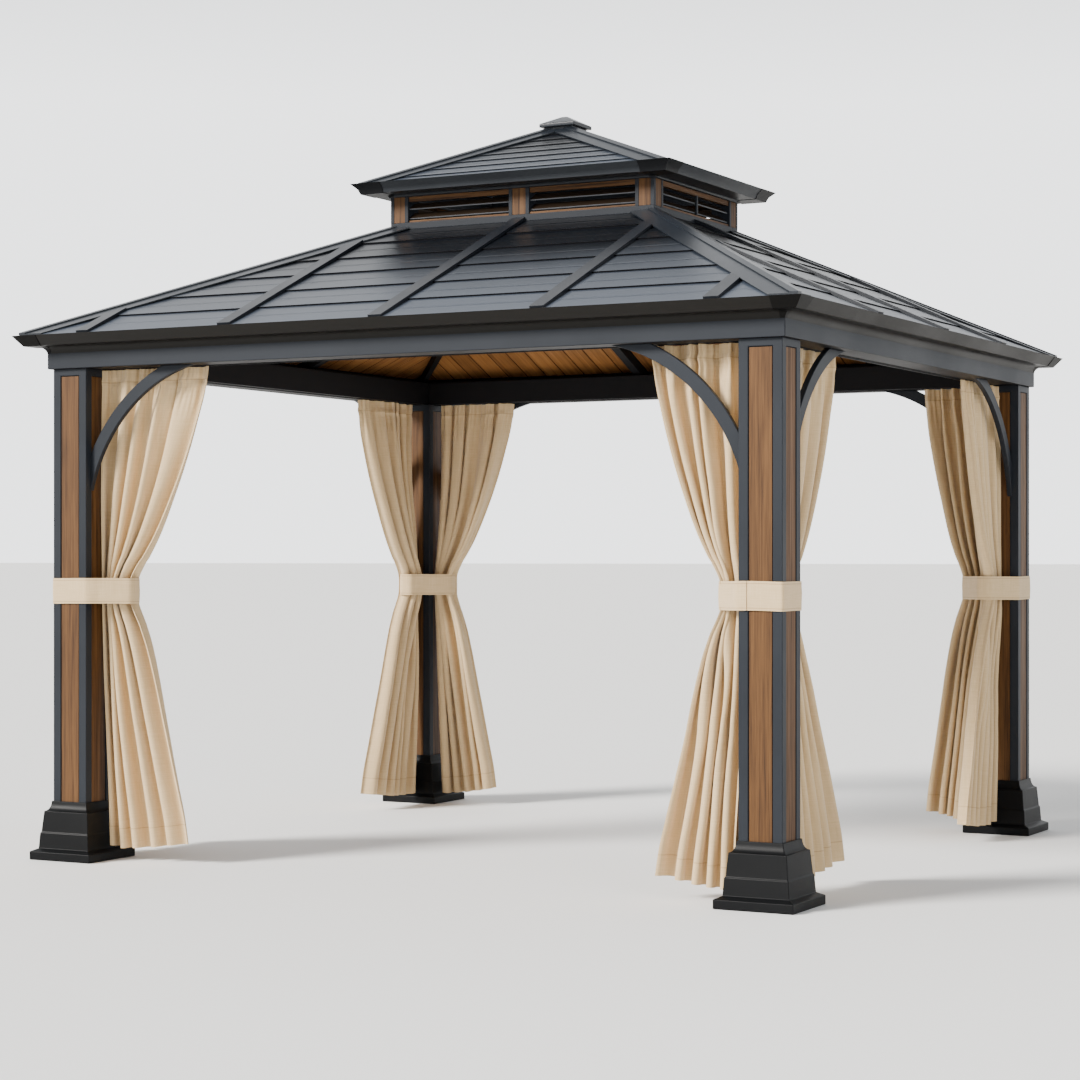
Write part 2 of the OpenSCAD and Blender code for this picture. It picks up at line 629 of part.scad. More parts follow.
module cupola_frieze() color(metal) for (i = [0:3]) intersection() {
    wide = crown_w + frieze_proud;
    side_bar(i, pick(i, frieze_y, frieze_x), pick(i, frieze_x, frieze_y), [
        [0, frieze_z], [wide, frieze_z], [wide, frieze_top], [wide, under(upper, i, cupola_out, wide, sheet_t)],
        [wide - frieze_plate_w, under(upper, i, cupola_out, wide - frieze_plate_w, sheet_t)],
        [wide - frieze_plate_w, frieze_top], [0, frieze_top]]);
    mitred(i, frieze_x, frieze_y, wide, frieze_z - frieze_h, frieze_top + cupola_rise, seat_gap);
}

// Cupola roof
module cupola_gutters() color(dark) for (i = [0:3])
    gutter(cupola_gutter, i, frieze_x, frieze_y, frieze_top, cupola_corner_len);
module cupola_gutter_corners() color(dark) for (k = [0:3]) on_corner(k)
    gutter_corner(cupola_gutter, frieze_x, frieze_y, frieze_top, cupola_corner_len);
module cupola_roof() color(dark) for (i = [0:3]) lapped_sheet(upper, i, cupola_courses, cupola_lap_h);
module cupola_hip_caps() color(dark) for (k = [0:3]) on_corner(k) hip_cap(upper, cupola_hip_w, cupola_lap_h);
module finial_cap() color(dark) translate([0, 0, upper[4] + upper[5]]) square_moulding([
    [cap_seat_w / 2 - seat_gap, -cap_edge_h], [cap_seat_w / 2 - seat_gap, cap_lift], [cap_w / 2, cap_lift],
    [cap_w / 2, cap_lift + cap_edge_h], [cap_flat_w / 2, cap_lift + cap_edge_h + cap_rise]]);

// Curtains: gathered bodies lofted from the hem to the track
bulge_share = 0.6;
function bulge(v) = sign(v) * pow(abs(v), bulge_share);
function ring(row) = [for (a = [0:30:330]) [
    (row[1] + row[2]) / 2 + (row[2] - row[1]) / 2 * bulge(cos(a)), row[3] * bulge(sin(a)), row[0]]];
module curtain_body(reach, foot) {
    rings = [for (row = curtain_rows(reach, foot)) ring(row)];
    m = len(rings[0]);
    n = len(rings);
    sides = [for (j = [0:n - 2]) for (k = [0:m - 1]) let (e = (k + 1) % m)
        each [[j * m + k, (j + 1) * m + k, (j + 1) * m + e], [j * m + k, (j + 1) * m + e, j * m + e]]];
    polyhedron([for (points = rings) each points],
        concat([[for (k = [0:m - 1]) k]], sides, [[for (k = [m - 1:-1:0]) (n - 1) * m + k]]));
}
module long_curtain(k) color(cloth) on_corner(k) translate([post_x - post_w / 2, track_in - post_y, 0])
    mirror([1, 0, 0]) curtain_body(curtain_reach_x, curtain_foot_x);
module side_curtain(k) color(cloth) on_corner(k) translate([post_x - track_in, post_w / 2 - post_y, 0])
    rotate([0, 0, 90]) curtain_body(curtain_reach_y, curtain_foot_y);

// Tie-backs: a band round each post and its two curtains
module tie_outline(o) hull() {
    mid = post_w / 2 + (curtain_tie + curtain_clear) / 2;
    wide = curtain_tie - curtain_clear + 2 * o;
    deep = 2 * (curtain_tie_d + o);
    square(post_w + 2 * o, center = true);
    translate([-mid, track_in]) square([wide, deep], center = true);
    translate([-track_in, mid]) square([deep, wide], center = true);
}
module tiebacks() color(cloth) for (k = [0:3]) on_corner(k) translate([post_x, -post_y, tie_bottom])
    linear_extrude(tie_h) difference() {
        tie_outline(seat_gap + tie_t);
        tie_outline(seat_gap);
    }

post(0);  // post_front_right
post(1);  // post_front_left
post(2);  // post_back_left
post(3);  // post_back_right
post_panels();
plinths();
beam(0);  // beam_front
beam(1);  // beam_right
beam(2);  // beam_back
beam(3);  // beam_left
curtain_tracks();
braces(0);  // braces_front
braces(1);  // braces_right
braces(2);  // braces_back
braces(3);  // braces_left
eave_gutters();
gutter_corners();
roof(0);  // roof_front
roof(1);  // roof_right
roof(2);  // roof_back
roof(3);  // roof_left
roof_ribs();
hip_caps();
ceiling();
rafters();
hip_rafters();
crown_frame();
cupola_sills();
cupola_posts();
cupola_boards();
cupola_louvres();
cupola_frieze();
cupola_gutters();
cupola_gutter_corners();
cupola_roof();
cupola_hip_caps();
finial_cap();
long_curtain(0);  // curtain_front_right
long_curtain(1);  // curtain_front_left
long_curtain(2);  // curtain_back_left
long_curtain(3);  // curtain_back_right
side_curtain(0);  // curtain_right_front
side_curtain(1);  // curtain_left_front
side_curtain(2);  // curtain_left_back
side_curtain(3);  // curtain_right_back
tiebacks();
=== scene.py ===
import math

import bpy
import numpy as np
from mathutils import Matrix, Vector, noise


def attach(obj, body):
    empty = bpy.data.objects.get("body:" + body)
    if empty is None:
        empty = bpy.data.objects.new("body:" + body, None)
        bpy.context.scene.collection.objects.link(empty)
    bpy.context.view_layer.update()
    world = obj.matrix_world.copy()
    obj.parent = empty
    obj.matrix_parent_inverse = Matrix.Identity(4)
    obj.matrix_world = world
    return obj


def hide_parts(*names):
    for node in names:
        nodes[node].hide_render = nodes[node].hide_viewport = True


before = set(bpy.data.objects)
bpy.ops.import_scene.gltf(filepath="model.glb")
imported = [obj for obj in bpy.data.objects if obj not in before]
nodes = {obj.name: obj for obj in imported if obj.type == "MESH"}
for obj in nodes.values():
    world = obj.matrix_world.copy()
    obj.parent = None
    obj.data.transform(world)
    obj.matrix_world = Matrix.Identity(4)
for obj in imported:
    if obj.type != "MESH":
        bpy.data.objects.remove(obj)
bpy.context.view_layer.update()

# Sizes of the gazebo in metres, the same as in the part's source
POST_X, POST_Y, POST_W = 1.590, 1.430, 0.175
BEAM_OUT, BEAM_TOP = 0.1055, 2.205
EAVE_OUT, EAVE_LIFT = 0.085, 0.020
EAVE_X, EAVE_Y, EAVE_Z = POST_X + BEAM_OUT + EAVE_OUT, POST_Y + BEAM_OUT + EAVE_OUT, BEAM_TOP + EAVE_LIFT
WALL_X, WALL_Y, WALL_Z = 0.650, 0.440, 2.745
ROOF_RISE, ROOF_COURSES, SHEET_OVER = 0.520, 6, 0.020
CUPOLA_X, CUPOLA_Y, CUPOLA_EAVE_Z = 0.756, 0.546, 2.935
CUPOLA_RISE, CUPOLA_COURSE, FINIAL_HALF = 0.258, 0.0334, 0.070
SHEET_T, BOARD_T, BOARD_W, PLATE_SET = 0.004, 0.050, 0.110, 0.020
TRACK_IN = 0.0305
TIE_LOW, TIE_MIDDLE, TIE_HIGH = 1.091, 1.145, 1.199
CURTAIN_TOP, CURTAIN_HEM = 2.0867, 0.060
CLOTH_T, BAND_T = 0.0016, 0.0022

SIDES = ("front", "right", "back", "left")
CORNERS = ("front_right", "front_left", "back_left", "back_right")


# Camera at the photograph's place
def make_camera():
    data = bpy.data.cameras.new("camera")
    camera = bpy.data.objects.new("camera", data)
    bpy.context.scene.collection.objects.link(camera)
    camera.location = (5.1451, -9.9041, 1.2871)
    camera.rotation_euler = (math.radians(90), 0, math.radians(28.04))
    data.sensor_width = 36
    data.lens = 82.76
    data.shift_y = 0.0161
    data.clip_end = 1000
    bpy.context.scene.camera = camera


# Material helpers
def start_material(name, rough, specular=0.5):
    made = bpy.data.materials.new(name)
    made.use_nodes = True
    tree = made.node_tree
    shader = tree.nodes["Principled BSDF"]
    shader.inputs["Roughness"].default_value = rough
    shader.inputs["Specular IOR Level"].default_value = specular
    return made, tree, shader


def add(tree, kind, values=None, **settings):
    node = tree.nodes.new(kind)
    for key, value in settings.items():
        setattr(node, key, value)
    for key, value in (values or {}).items():
        node.inputs[key].default_value = value
    return node


def object_place(tree, scale=(1, 1, 1)):
    place = add(tree, "ShaderNodeTexCoord")
    mapping = add(tree, "ShaderNodeMapping", {"Scale": scale})
    tree.links.new(place.outputs["Object"], mapping.inputs["Vector"])
    return mapping.outputs["Vector"]


def axes(tree, source):
    place = add(tree, "ShaderNodeTexCoord")
    split = add(tree, "ShaderNodeSeparateXYZ")
    tree.links.new(place.outputs[source], split.inputs["Vector"])
    return split.outputs


def ramp(tree, source, stops):
    node = tree.nodes.new("ShaderNodeValToRGB")
    band = node.color_ramp
    while len(band.elements) < len(stops):
        band.elements.new(0.5)
    for element, (at, colour) in zip(band.elements, stops):
        element.position = at
        element.color = (*colour, 1)
    tree.links.new(source, node.inputs["Fac"])
    return node.outputs["Color"]


def grey_ramp(tree, source, low, high, start=0.3, end=0.7):
    limits = {"From Min": start, "From Max": end, "To Min": low, "To Max": high}
    node = add(tree, "ShaderNodeMapRange", limits)
    tree.links.new(source, node.inputs["Value"])
    return node.outputs["Result"]


def maths(tree, kind, a, b=None):
    node = add(tree, "ShaderNodeMath", operation=kind)
    for slot, value in zip(node.inputs, (a, b)):
        if value is None:
            continue
        if isinstance(value, (int, float)):
            slot.default_value = value
        else:
            tree.links.new(value, slot)
    return node.outputs["Value"]


# A value from 0 to 1 drawn together about its middle, with the middle at 0
def about_middle(tree, value, share):
    return maths(tree, "MULTIPLY", maths(tree, "SUBTRACT", value, 0.5), share)


# How far a repeating measure is from the middle of its step
def off_middle(tree, steps):
    return maths(tree, "ABSOLUTE", maths(tree, "SUBTRACT", maths(tree, "FRACT", steps), 0.5))


def bump(tree, shader, height, strength, distance):
    node = add(tree, "ShaderNodeBump", {"Strength": strength, "Distance": distance})
    tree.links.new(height, node.inputs["Height"])
    tree.links.new(node.outputs["Normal"], shader.inputs["Normal"])


# Powder-coated metal with a fine orange-peel skin
def coated_metal(name, colour, rough, specular, spread=0.12):
    made, tree, shader = start_material(name, rough, specular)
    broad = add(tree, "ShaderNodeTexNoise", {"Scale": 2.3, "Detail": 4.0, "Roughness": 0.55})
    tree.links.new(object_place(tree), broad.inputs["Vector"])
    clouds = broad.outputs["Fac"]
    dark, light = [c * (1 - spread) for c in colour], [c * (1 + spread) for c in colour]
    tree.links.new(ramp(tree, clouds, [(0.3, dark), (0.7, light)]), shader.inputs["Base Color"])
    tree.links.new(grey_ramp(tree, clouds, low=rough - 0.05, high=rough + 0.06), shader.inputs["Roughness"])
    skin = add(tree, "ShaderNodeTexNoise", {"Scale": 420.0, "Detail": 2.0})
    tree.links.new(object_place(tree), skin.inputs["Vector"])
    bump(tree, shader, skin.outputs["Fac"], strength=0.12, distance=0.0006)
    return made


# Roof sheets: satin blue-black coat with a painted sheen that makes the colour paler towards the eaves, with
# the pressed crease halfway up each course
def roof_metal(name, colour, rough, base, course, rise):
    made, tree, shader = start_material(name, rough)
    broad = add(tree, "ShaderNodeTexNoise", {"Scale": 1.6, "Detail": 3.0, "Roughness": 0.5})
    tree.links.new(object_place(tree), broad.inputs["Vector"])
    height = maths(tree, "SUBTRACT", axes(tree, "Object")["Z"], base)
    clouds = maths(tree, "MULTIPLY", broad.outputs["Fac"], 0.5)
    sheen_fade = maths(tree, "ADD", maths(tree, "DIVIDE", height, rise), clouds)
    # Painted sheen: the colour is 4.8 times the coat at the eaves and 0.55 times near the top, standing in
    # for reflected light
    eave, top = [c * 4.8 for c in colour], [c * 0.55 for c in colour]
    tree.links.new(ramp(tree, sheen_fade, [(0.25, eave), (0.95, top)]), shader.inputs["Base Color"])
    dull = grey_ramp(tree, sheen_fade, low=rough + 0.06, high=rough - 0.04, start=0.25, end=1.1)
    tree.links.new(dull, shader.inputs["Roughness"])
    shine = grey_ramp(tree, sheen_fade, low=0.46, high=0.06, start=0.60, end=1.20)
    tree.links.new(shine, shader.inputs["Specular IOR Level"])
    off = off_middle(tree, maths(tree, "DIVIDE", height, course))
    crease = grey_ramp(tree, off, low=0.0, high=1.0, start=0.0, end=0.05)
    bump(tree, shader, crease, strength=0.5, distance=0.003)
    return made


# Tones of the wood, from the dark lines of the grain to the pale wood between them
WOOD = ((0.36, (0.022, 0.0095, 0.0034)), (0.45, (0.062, 0.0285, 0.0098)),
        (0.56, (0.098, 0.0465, 0.0165)), (0.68, (0.135, 0.068, 0.026)))
PANEL_TONE, CEILING_TONE = (0.95, 0.89, 0.74), (2.5, 2.3, 1.9)


# Boards side by side: calmer grain, a shade for each board, a dark line at each joint
def board_marks(tree, grain, axis):
    boards = maths(tree, "DIVIDE", axes(tree, "Object")[axis], BOARD_W)
    odd = add(tree, "ShaderNodeTexWhiteNoise", noise_dimensions="1D")
    tree.links.new(maths(tree, "FLOOR", boards), odd.inputs["W"])
    calm = maths(tree, "ADD", about_middle(tree, grain, 0.55), 0.5)
    shaded = maths(tree, "ADD", calm, about_middle(tree, odd.outputs["Value"], 0.12))
    joint = grey_ramp(tree, off_middle(tree, boards), low=0.0, high=0.4, start=0.46, end=0.485)
    return maths(tree, "SUBTRACT", shaded, joint)


# Wood-look finish with the grain stretched along one axis
def wood_grain(name, stretch, tone, board_axis=None):
    made, tree, shader = start_material(name, 0.52, 0.18)
    place = object_place(tree, stretch)
    streaks = {"Scale": 1.0, "Detail": 6.0, "Roughness": 0.62, "Distortion": 0.35}
    pores = {"Scale": 5.5, "Detail": 3.0, "Roughness": 0.5}
    layers = []
    for values, share in ((streaks, 0.72), (pores, 0.28)):
        layer = add(tree, "ShaderNodeTexNoise", values)
        tree.links.new(place, layer.inputs["Vector"])
        layers.append(maths(tree, "MULTIPLY", layer.outputs["Fac"], share))
    grain = maths(tree, "ADD", *layers)
    if board_axis is not None:
        grain = board_marks(tree, grain, board_axis)
    stops = [(at, [c * t for c, t in zip(colour, tone)]) for at, colour in WOOD]
    tree.links.new(ramp(tree, grain, stops), shader.inputs["Base Color"])
    tree.links.new(grey_ramp(tree, grain, low=0.62, high=0.44), shader.inputs["Roughness"])
    bump(tree, shader, grain, strength=0.25, distance=0.0015)
    return made


# Rows of stitching across the cloth: hem, tie-back edges and heading
GATHER_Z = 2.034
STITCHES = (0.142, 1.100, 1.190, GATHER_Z)
STITCH_TONE = (0.74, 0.69, 0.64, 1)
# Sockets of the colour mix node: share, first colour, second colour, and the mixed colour that comes out
MIX_SHARE, MIX_FIRST, MIX_SECOND, MIX_OUT = 0, 6, 7, 2


# Woven linen-look cloth: threads and slubs laid out on the cloth's own UV map
def linen(name, light, dark):
    made, tree, shader = start_material(name, 0.88, 0.15)
    shader.inputs["Sheen Weight"].default_value = 0.25
    shader.inputs["Sheen Roughness"].default_value = 0.6
    uv = add(tree, "ShaderNodeTexCoord").outputs["UV"]
    slubs, threads = [], []
    for stretch in ((9.0, 240.0, 1.0), (240.0, 9.0, 1.0)):
        mapping = add(tree, "ShaderNodeMapping", {"Scale": stretch})
        tree.links.new(uv, mapping.inputs["Vector"])
        slub = add(tree, "ShaderNodeTexNoise", {"Scale": 1.0, "Detail": 3.0, "Roughness": 0.6})
        tree.links.new(mapping.outputs["Vector"], slub.inputs["Vector"])
        slubs.append(slub.outputs["Fac"])
    for direction in ("X", "Y"):
        values = {"Scale": 160.0, "Distortion": 0.6, "Detail": 1.0}
        thread = add(tree, "ShaderNodeTexWave", values, bands_direction=direction)
        tree.links.new(uv, thread.inputs["Vector"])
        threads.append(thread.outputs["Fac"])
    weave = maths(tree, "MAXIMUM", *threads)
    slub = maths(tree, "MULTIPLY", maths(tree, "ADD", *slubs), 0.5)
    up = axes(tree, "UV")["Y"]
    nearest = None
    for line in STITCHES:
        off = maths(tree, "ABSOLUTE", maths(tree, "SUBTRACT", up, line))
        nearest = off if nearest is None else maths(tree, "MINIMUM", nearest, off)
    seam = grey_ramp(tree, nearest, low=1.0, high=0.0, start=0.0008, end=0.0026)
    shade = add(tree, "ShaderNodeMix", data_type="RGBA", blend_type="MULTIPLY")
    shade.inputs[MIX_SECOND].default_value = STITCH_TONE
    tree.links.new(seam, shade.inputs[MIX_SHARE])
    tree.links.new(ramp(tree, slub, [(0.34, dark), (0.64, light)]), shade.inputs[MIX_FIRST])
    tree.links.new(shade.outputs[MIX_OUT], shader.inputs["Base Color"])
    height = maths(tree, "ADD", maths(tree, "MULTIPLY", weave, 0.6), slub)
    height = maths(tree, "SUBTRACT", height, maths(tree, "MULTIPLY", seam, 2.0))
    bump(tree, shader, height, strength=0.22, distance=0.0012)
    return made


# Finishes: colour, roughness and shine of each coat
frame_coat = coated_metal("frame_coat", (0.0140, 0.0165, 0.0210), 0.44, 0.13)
plinth_coat = coated_metal("plinth_coat", (0.0042, 0.0045, 0.0050), 0.42, 0.09)
gutter_coat = coated_metal("gutter_coat", (0.0074, 0.0067, 0.0058), 0.44, 0.12)
corner_coat = coated_metal("corner_coat", (0.0030, 0.0028, 0.0025), 0.42, 0.07)
upper_gutter_coat = coated_metal("upper_gutter_coat", (0.0290, 0.0318, 0.0360), 0.44, 0.14)
upper_corner_coat = coated_metal("upper_corner_coat", (0.0085, 0.0090, 0.0100), 0.42, 0.10)
# Louvre blades: the pale front edges are a painted highlight, and the dark brown faces are a painted shade
louvre_edge_highlight = coated_metal("louvre_edge_highlight", (0.090, 0.096, 0.105), 0.44, 0.20)
louvre_shade = coated_metal("louvre_shade", (0.016, 0.010, 0.006), 0.5, 0.10)
# Near-black painted shade for the inner faces of the frame, which are the frame's own coat lying in shade
inner_painted_shade = coated_metal("inner_painted_shade", (0.006, 0.006, 0.007), 0.55, 0.10)
cap_coat = coated_metal("cap_coat", (0.012, 0.015, 0.020), 0.32, 0.27)
rib_coat = coated_metal("rib_coat", (0.009, 0.011, 0.015), 0.36, 0.36)
lap_shadow = coated_metal("lap_shadow", (0.003, 0.003, 0.004), 0.6, 0.05)
SHEET_COLOUR, SHEET_ROUGH = (0.0075, 0.0098, 0.0140), 0.33
SLANT = math.hypot(EAVE_Y - WALL_Y, ROOF_RISE)
ROOF_COURSE = (SLANT + SHEET_OVER) * ROOF_RISE / SLANT / ROOF_COURSES
# Roof and cupola sheets: their blue-black coat plus a painted sheen towards the eaves
roof_coat_and_sheen = roof_metal("roof_coat_and_sheen", SHEET_COLOUR, SHEET_ROUGH, EAVE_Z, ROOF_COURSE, ROOF_RISE)
cupola_coat_and_sheen = roof_metal("cupola_coat_and_sheen", SHEET_COLOUR, SHEET_ROUGH, CUPOLA_EAVE_Z, CUPOLA_COURSE, CUPOLA_RISE)
post_wood = wood_grain("post_wood", (70.0, 70.0, 1.5), PANEL_TONE)
header_wood = wood_grain("header_wood", (1.8, 1.8, 90.0), PANEL_TONE)
long_boards = wood_grain("long_boards", (52.0, 1.6, 1.6), CEILING_TONE, "X")
side_boards = wood_grain("side_boards", (1.6, 52.0, 1.6), CEILING_TONE, "Y")
curtain_cloth = linen("curtain_cloth", (0.600, 0.440, 0.250), (0.500, 0.355, 0.185))


# Finish of a piece: one material, and the body it rides on
def dress(piece, material):
    piece.data.materials.clear()
    piece.data.materials.append(material)
    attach(piece, "root")
    return piece


# One piece selected and active
def only(piece):
    bpy.ops.object.select_all(action="DESELECT")
    piece.select_set(True)
    bpy.context.view_layer.objects.active = piece


# Points this close are welded, faces this flat are joined, and edges sharper than this are rounded
WELD, FLAT_TURN, EDGE_TURN = 0.00002, math.radians(0.4), math.radians(32)


def round_edges(piece, width, finish=-1):
    edge = piece.modifiers.new("edge", "BEVEL")
    edge.width, edge.segments = width, 2
    edge.limit_method, edge.angle_limit = "ANGLE", EDGE_TURN
    edge.material = finish


# Edges of a CAD node eased: triangles welded, flat faces joined, sharp edges rounded, flat faces shaded flat
def ease(name, width, material, edge_finish=-1):
    piece = nodes[name]
    piece.data.materials.clear()
    piece.data.materials.append(material)
    weld = piece.modifiers.new("weld", "WELD")
    weld.merge_threshold = WELD
    flat = piece.modifiers.new("flat", "DECIMATE")
    flat.decimate_type, flat.angle_limit = "DISSOLVE", FLAT_TURN
    round_edges(piece, width, edge_finish)
    shade = piece.modifiers.new("shade", "WEIGHTED_NORMAL")
    shade.mode, shade.weight = "FACE_AREA", 90
    for face in piece.data.polygons:
        face.use_smooth = True
    return piece


# Second finish on the faces of a CAD node that a rule picks
def second_finish(piece, material, picks):
    piece.data.materials.append(material)
    for face in piece.data.polygons:
        if picks(face.center, face.normal):
            face.material_index = 1


# Above 0 for a face that looks away from the gazebo's middle
def outward(at, facing):
    return at.x * facing.x + at.y * facing.y


# Step faces of the lapped sheets look outwards and a little down
def lap_face(at, facing):
    return -0.6 < facing.z < -0.15 and outward(at, facing) > 0.1


# Front edges of the louvre blades look outwards and down, and take the painted highlight
def louvre_edge(at, facing):
    return outward(at, facing) > 0.3 and facing.z < -0.3


# Inner side, top and underside of a beam: these faces take the near-black painted shade
def beam_inside(at, facing):
    return outward(at, facing) < -0.1 or abs(facing.z) > 0.5


# Header boards lie between the cupola's posts
def header_board(at, facing):
    return 0.05 < abs(at.x) < 0.56 if abs(at.y) > 0.40 else abs(at.y) < 0.35


def finish_metal():
    for corner in CORNERS:
        ease("post_" + corner, 0.003, frame_coat)
    for side in SIDES:
        second_finish(ease("beam_" + side, 0.003, frame_coat), inner_painted_shade, beam_inside)
        ease("braces_" + side, 0.003, frame_coat)
        second_finish(ease("roof_" + side, 0.0006, roof_coat_and_sheen, edge_finish=1), lap_shadow, lap_face)
    ease("plinths", 0.004, plinth_coat)
    ease("eave_gutters", 0.0012, gutter_coat)
    ease("gutter_corners", 0.0012, corner_coat)
    ease("roof_ribs", 0.003, rib_coat)
    ease("hip_caps", 0.0015, cap_coat)
    # Rafters, crown frame and curtain tracks take the near-black painted shade instead of the frame coat
    ease("rafters", 0.002, inner_painted_shade)
    ease("hip_rafters", 0.002, inner_painted_shade)
    ease("crown_frame", 0.002, inner_painted_shade)
    ease("curtain_tracks", 0.0006, inner_painted_shade)
    ease("cupola_sills", 0.002, frame_coat)
    ease("cupola_posts", 0.001, frame_coat)
    # Louvre faces take the painted shade, and their front edges the painted highlight
    second_finish(ease("cupola_louvres", 0.001, louvre_shade), louvre_edge_highlight, louvre_edge)
    second_finish(ease("cupola_boards", 0.0008, post_wood), header_wood, header_board)
    second_finish(ease("cupola_roof", 0.0005, cupola_coat_and_sheen, edge_finish=1), lap_shadow, lap_face)
    ease("cupola_gutters", 0.001, upper_gutter_coat)
    ease("cupola_gutter_corners", 0.001, upper_corner_coat)
    ease("cupola_hip_caps", 0.0015, cap_coat)
    ease("finial_cap", 0.003, cap_coat)
    ease("post_panels", 0.001, post_wood)


# Everything past a plane cut off and the cut closed, in edit mode
def cut_off(place, normal):
    bpy.ops.mesh.select_all(action="SELECT")
    bpy.ops.mesh.bisect(plane_co=place, plane_no=normal, use_fill=True, clear_outer=True)


def face_outwards():
    bpy.ops.mesh.select_all(action="SELECT")
    bpy.ops.mesh.normals_make_consistent(inside=False)


# Frieze of the cupola: the CAD form with its mitred ends trimmed to the four slopes, just under the sheets
TRIM = 0.0003
OUTWARDS = ((0, -1), (1, 0), (0, 1), (-1, 0))


def frieze_frame():
    piece = bpy.data.objects.new("frieze_frame", nodes["cupola_frieze"].data.copy())
    bpy.context.scene.collection.objects.link(piece)
    only(piece)
    bpy.ops.object.mode_set(mode="EDIT")
    bpy.ops.mesh.select_all(action="SELECT")
    bpy.ops.mesh.remove_doubles(threshold=WELD)
    bpy.ops.mesh.dissolve_limited(angle_limit=FLAT_TURN)
    for x, y in OUTWARDS:
        out = CUPOLA_X if x else CUPOLA_Y
        pitch = math.atan2(CUPOLA_RISE, out - FINIAL_HALF)
        normal = Vector((x * math.sin(pitch), y * math.sin(pitch), math.cos(pitch)))
        cut_off(Vector((x * out, y * out, CUPOLA_EAVE_Z)) - normal * (SHEET_T + TRIM), normal)
    face_outwards()
    bpy.ops.object.mode_set(mode="OBJECT")
    bpy.ops.mesh.customdata_custom_splitnormals_clear()
    round_edges(piece, 0.002)
    bpy.ops.object.modifier_apply(modifier="edge")
    bpy.ops.object.shade_smooth_by_angle(angle=math.radians(40))
    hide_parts("cupola_frieze")
    return dress(piece, frame_coat)


# Ceiling boards of one slope: a row of eased boards cut to the hips and the crown
BOARD_JOINT, BOARD_PLAY, BOARD_EASE, BOARD_SPARE = 0.0012, 0.0004, 0.0035, 0.020
HIP_PLAY, CROWN_PLAY = 0.010, 0.0005


def ceiling_boards(index):
    along, out = (EAVE_X, EAVE_Y) if index % 2 == 0 else (EAVE_Y, EAVE_X)
    wall_along, wall_out = (WALL_X, WALL_Y) if index % 2 == 0 else (WALL_Y, WALL_X)
    rise, run = WALL_Z - EAVE_Z, out - wall_out
    pitch, slant = math.atan2(rise, run), math.hypot(rise, run)
    start = (EAVE_OUT + PLATE_SET) / math.cos(pitch)
    count = int(along / BOARD_W) + 1
    first = ((0.5 - count) * BOARD_W, (start + slant) / 2 + BOARD_SPARE / 2, -SHEET_T - BOARD_T / 2)
    bpy.ops.object.select_all(action="DESELECT")
    bpy.ops.mesh.primitive_cube_add(size=1, location=first)
    piece = bpy.context.object
    piece.name = "ceiling_boards_" + SIDES[index]
    piece.scale = (BOARD_W - BOARD_JOINT, slant - start + BOARD_SPARE, BOARD_T - BOARD_PLAY)
    bpy.ops.object.transform_apply(location=True, rotation=True, scale=True)
    edge = piece.modifiers.new("edge", "BEVEL")
    edge.width, edge.segments = BOARD_EASE, 1
    row = piece.modifiers.new("row", "ARRAY")
    row.use_relative_offset, row.use_constant_offset = False, True
    row.constant_offset_displace = (BOARD_W, 0, 0)
    row.count = 2 * count
    bpy.ops.object.modifier_apply(modifier="edge")
    bpy.ops.object.modifier_apply(modifier="row")
    bpy.ops.object.mode_set(mode="EDIT")
    for sign in (1, -1):
        normal = Vector((sign * slant, along - wall_along, 0)).normalized()
        cut_off(Vector((sign * along, 0, 0)) - normal * HIP_PLAY, normal)
    bpy.ops.object.mode_set(mode="OBJECT")
    piece.rotation_euler = (pitch, 0, 0)
    piece.location = (0, -out, EAVE_Z)
    bpy.ops.object.transform_apply(location=True, rotation=True, scale=True)
    bpy.ops.object.mode_set(mode="EDIT")
    cut_off((0, -wall_out - CROWN_PLAY, 0), (0, 1, 0))
    bpy.ops.object.mode_set(mode="OBJECT")
    piece.rotation_euler = (0, 0, math.radians(90 * index))
    bpy.ops.object.transform_apply(location=True, rotation=True, scale=True)
    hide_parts("ceiling")
    return dress(piece, long_boards if index % 2 == 0 else side_boards)


# Curtain outline as shares of height and of reach, above and below the tie
UPPER = np.array([(0, 0), (0.07, 0.09), (0.16, 0.245), (0.25, 0.365), (0.35, 0.485), (0.44, 0.585),
                  (0.53, 0.675), (0.63, 0.765), (0.72, 0.836), (0.82, 0.911), (0.91, 0.971), (1, 1)])
LOWER = np.array([(0, 0), (0.08, 0.12), (0.16, 0.235), (0.24, 0.325), (0.32, 0.41), (0.40, 0.485),
                  (0.48, 0.56), (0.56, 0.64), (0.64, 0.71), (0.72, 0.78), (0.80, 0.85), (0.89, 0.935),
                  (1, 1)])
# Gap between the post and the cloth at each height
START = np.array([(0.060, 0.054), (0.240, 0.048), (0.500, 0.034), (0.800, 0.016), (1.050, 0.006),
                  (2.2, 0.005)])
# Turn of the small pleats at each height
PLEATS = np.array([(0.06, 0.18), (0.45, 0.24), (0.85, 0.42), (1.05, 0.50), (1.25, 0.45), (1.55, 0.36),
                   (1.90, 0.55), (2.09, 0.50)])
# Rise of the hem along the cloth's width
HEM_RISE = np.array([(0, 0.000), (0.15, -0.010), (0.5, -0.002), (1, 0.026)])
# Heights of the rows of cloth, closer at the tie and the heading, and the number of steps along a row
ROWS = np.concatenate([np.linspace(CURTAIN_HEM, 1.00, 46), np.linspace(1.015, 1.285, 22),
                       np.linspace(1.305, 2.000, 32), np.linspace(2.010, CURTAIN_TOP, 14)])
COLUMNS = 168
# Cut width and number of folds of a curtain along the front or back, and along a side
CUT_X, CUT_Y = (0.74, 5), (0.84, 6)
# Small tucks along the heading and the tie
TUCKS = 23
# Sharpest turn of the cloth in a fold
MOST_TURN = 1.95
# Curtain kept inside its tie-back band
TIE_EASE = 0.018


